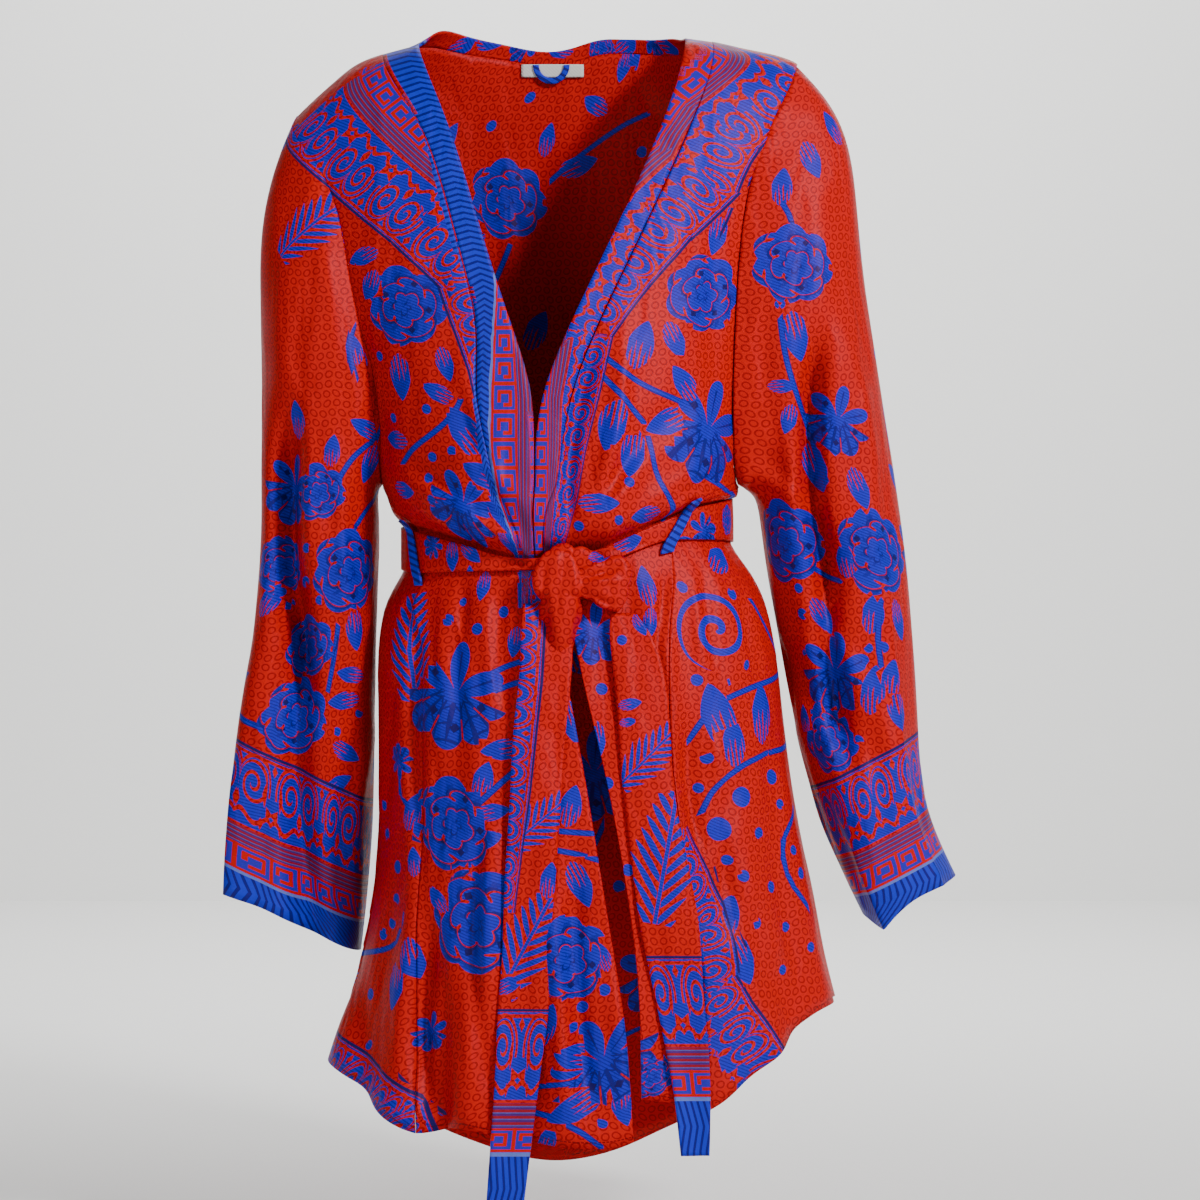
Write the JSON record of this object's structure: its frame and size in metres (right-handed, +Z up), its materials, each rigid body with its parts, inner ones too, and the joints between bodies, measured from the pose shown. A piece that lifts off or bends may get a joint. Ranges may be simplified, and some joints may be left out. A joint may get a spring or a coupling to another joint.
{
  "type": "robe",
  "caption": "Short wrap robe with long sleeves, a banded V neck and a tie belt knotted in front, filled out hollow as if worn",
  "frame": {"origin": "On the robe's centre line at the height of the inner ends of the shoulders, where it is held up", "axes": "+Z up, the front faces -Y, +X is the wearer's left"},
  "size_m": [0.5562, 0.2947, 0.8884],
  "materials": {
    "printed_silk": "red satin crepe with a woven ring figure and a blue flower print",
    "border_silk": "blue border print on the same satin crepe",
    "label_tape": "blank white woven tape"
  },
  "bodies": {
    "root": {"back": "printed_silk", "front_right": "printed_silk", "front_left": "printed_silk", "sleeve_right": "printed_silk", "sleeve_left": "printed_silk", "neckband": "border_silk", "belt_waist": "printed_silk", "belt_knot": "printed_silk", "belt_tail_right": "printed_silk", "belt_tail_left": "printed_silk", "belt_loop_right": "border_silk", "belt_loop_left": "border_silk", "neck_label": "label_tape", "hanging_loop": "border_silk"}
  },
  "joints": []
}
